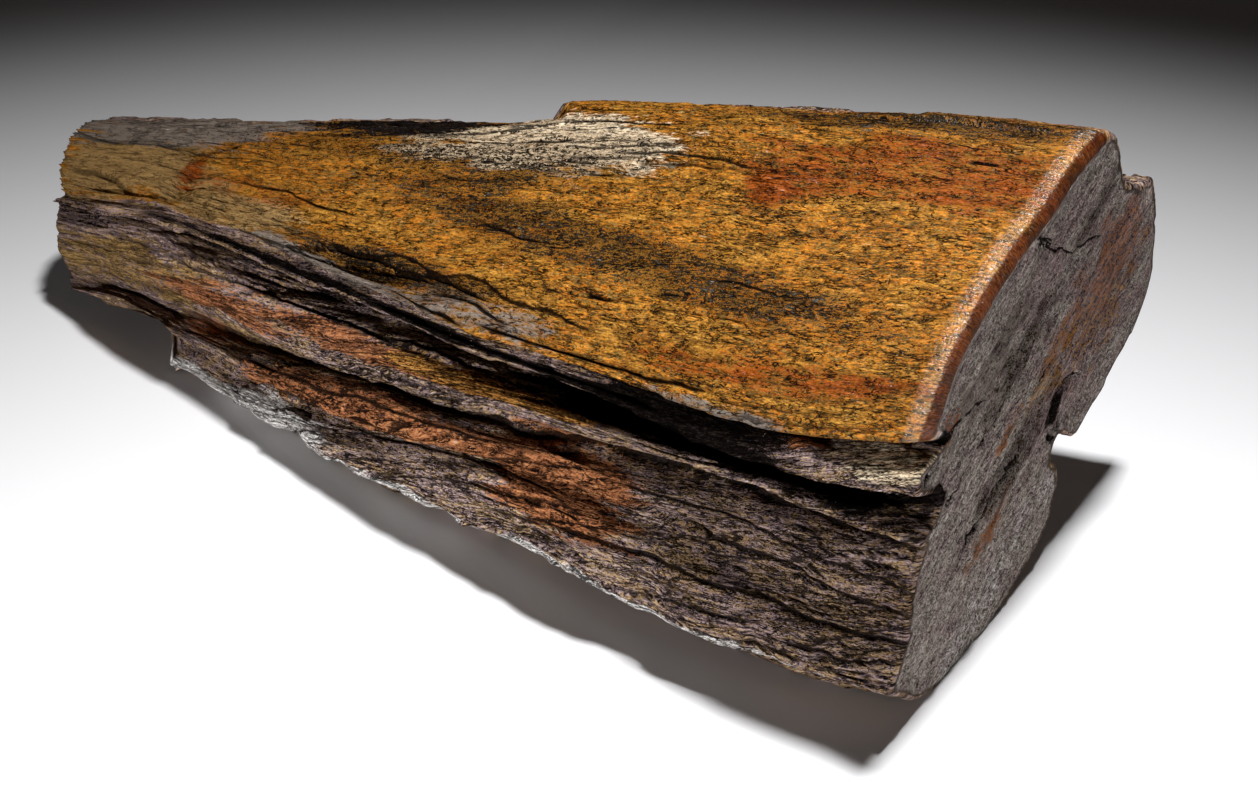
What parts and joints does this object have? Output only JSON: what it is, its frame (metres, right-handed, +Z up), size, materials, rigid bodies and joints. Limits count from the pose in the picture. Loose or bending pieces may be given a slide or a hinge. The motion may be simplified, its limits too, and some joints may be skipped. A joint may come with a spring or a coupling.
{
  "type": "petrified wood log",
  "caption": "Broken length of petrified wood: a wedge-shaped log of stone with a sloping sealed upper face, ledges and grooves along the grain, one near-flat end and one splintered end.",
  "frame": {"origin": "centre of the bounding box's base, on the surface that the log rests on", "axes": "+X along the grain towards the large near-flat end, +Z up, -Y towards the front with the long grooves"},
  "size_m": [0.409, 0.185, 0.1612],
  "materials": {
    "petrified_wood": "ochre to golden brown sealed upper face, slate grey end, rust, grey-brown and charcoal laminated sides"
  },
  "bodies": {
    "root": {"petrified_log": "petrified_wood"}
  },
  "joints": []
}
